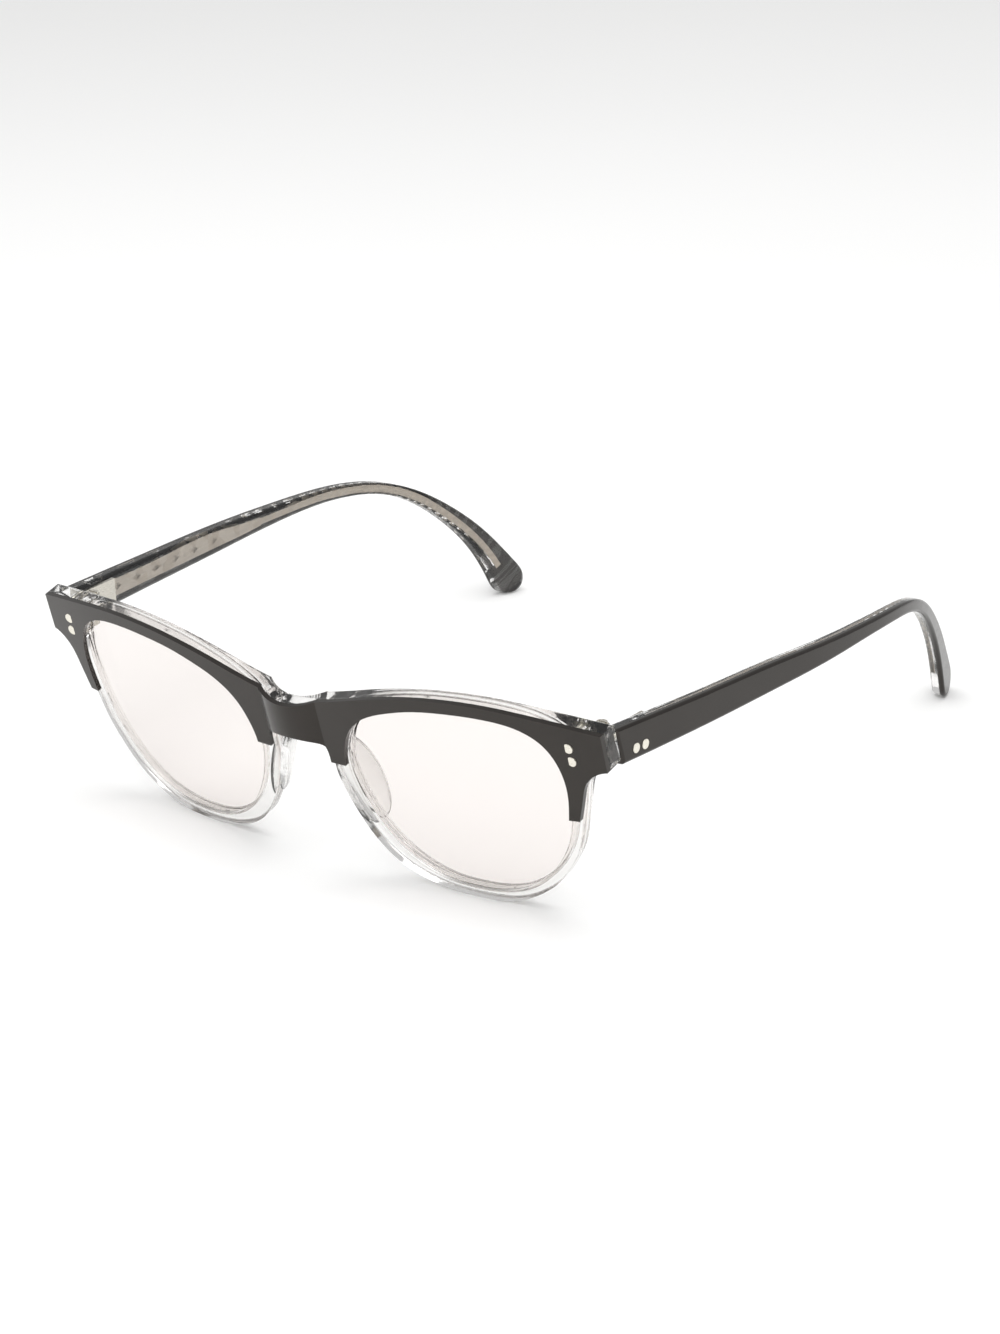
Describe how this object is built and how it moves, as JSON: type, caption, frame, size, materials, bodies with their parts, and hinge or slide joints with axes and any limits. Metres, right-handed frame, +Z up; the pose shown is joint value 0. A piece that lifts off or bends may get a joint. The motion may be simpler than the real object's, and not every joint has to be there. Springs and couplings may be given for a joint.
{
  "type": "eyeglasses",
  "caption": "Eyeglasses with a two-tone laminated acetate front, clear lenses, riveted barrel hinges and folding temples with a metal core.",
  "frame": {"origin": "middle of the bounding box in X and Y, on the surface that the open glasses stand on", "axes": "+X towards the wearer's left, +Y back along the temples, +Z up"},
  "size_m": [0.1474, 0.1512, 0.0462],
  "materials": {
    "clear_acetate": "polished clear acetate",
    "black_acetate": "polished black acetate",
    "lens": "clear lens",
    "rivet": "satin silver",
    "hinge": "nickel silver",
    "screw": "satin steel",
    "core": "stamped nickel silver"
  },
  "bodies": {
    "front": {"front_frame": "clear_acetate", "brow_laminate": "black_acetate", "nose_pad_left": "clear_acetate", "nose_pad_right": "clear_acetate", "lens_left": "lens", "lens_right": "lens", "front_rivets_left": "rivet", "front_rivets_right": "rivet", "front_hinge_left": "hinge", "front_hinge_right": "hinge", "hinge_screw_left": "screw", "hinge_screw_right": "screw"},
    "temple_left": {"temple_outer_left": "black_acetate", "temple_inner_left": "clear_acetate", "temple_core_left": "core", "temple_hinge_left": "hinge", "temple_rivets_left": "rivet"},
    "temple_right": {"temple_outer_right": "black_acetate", "temple_inner_right": "clear_acetate", "temple_core_right": "core", "temple_hinge_right": "hinge", "temple_rivets_right": "rivet"}
  },
  "joints": [
    {"name": "temple_fold_left", "type": "hinge", "parent": "front", "child": "temple_left", "pos_m": [0.0634, -0.05864, 0.0385], "axis": [0, 0, 1], "range_deg": [0, 86]},
    {"name": "temple_fold_right", "type": "hinge", "parent": "front", "child": "temple_right", "pos_m": [-0.0634, -0.05864, 0.0385], "axis": [0, 0, -1], "range_deg": [0, 69]}
  ]
}
